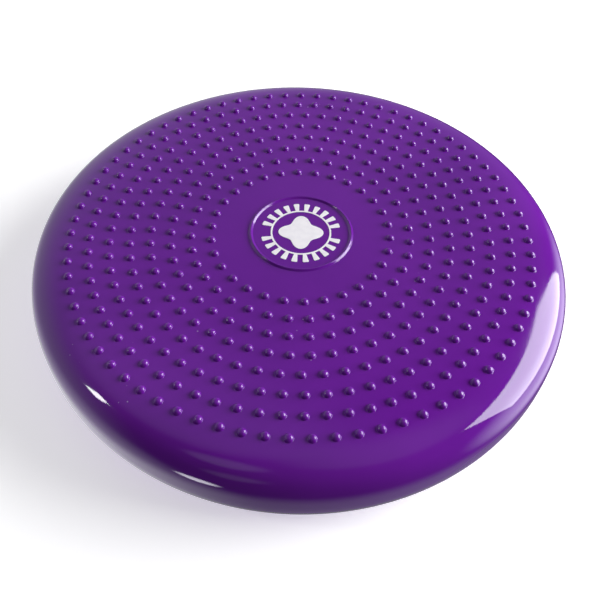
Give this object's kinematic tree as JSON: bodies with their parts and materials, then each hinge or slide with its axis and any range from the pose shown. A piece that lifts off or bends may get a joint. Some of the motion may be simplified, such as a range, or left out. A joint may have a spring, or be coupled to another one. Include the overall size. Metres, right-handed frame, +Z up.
{
  "type": "balance pad",
  "caption": "Round inflatable balance pad with a nubbed top, a raised medallion ring, a fully rounded rim, grip nubs underneath and a plug valve.",
  "frame": {"origin": "on the pad's axis, on the plane that the underside's grip nubs stand on", "axes": "+Z up along the pad's axis, -Y towards the viewer of the reference picture, +X to the viewer's right"},
  "size_m": [0.33, 0.33, 0.0603],
  "materials": {
    "skin": "glossy soft violet PVC, satin on the nubbed face",
    "ink": "white screen-printed ink",
    "valve_insert": "soft violet PVC insert",
    "valve_stopper": "white soft PVC stopper"
  },
  "bodies": {
    "base": {"underside": "skin", "valve_seat": "valve_insert"},
    "lower_rim": {"lower_side_wall": "skin"},
    "upper_rim": {"upper_side_wall": "skin"},
    "top": {"top_face": "skin", "emblem_ring": "ink", "emblem_centre": "ink"},
    "stopper": {"valve_plug": "valve_stopper"}
  },
  "joints": [
    {"name": "tilt_fore_aft", "type": "hinge", "parent": "base", "child": "lower_rim", "pos_m": [0, 0, 0.0327], "axis": [1, 0, 0], "range_deg": [-4, 4], "stiffness_Nm_per_rad": 320, "deforming": ["lower_side_wall"]},
    {"name": "tilt_sideways", "type": "hinge", "parent": "lower_rim", "child": "upper_rim", "pos_m": [0, 0, 0.0327], "axis": [0, 1, 0], "range_deg": [-4, 4], "stiffness_Nm_per_rad": 320, "deforming": ["upper_side_wall"]},
    {"name": "sink", "type": "slide", "parent": "upper_rim", "child": "top", "axis": [0, 0, -1], "range_m": [0, 0.008], "stiffness_N_per_m": 90000},
    {"name": "plug_pull", "type": "slide", "parent": "base", "child": "stopper", "axis": [0, 0, -1], "range_m": [0, 0.02]}
  ]
}
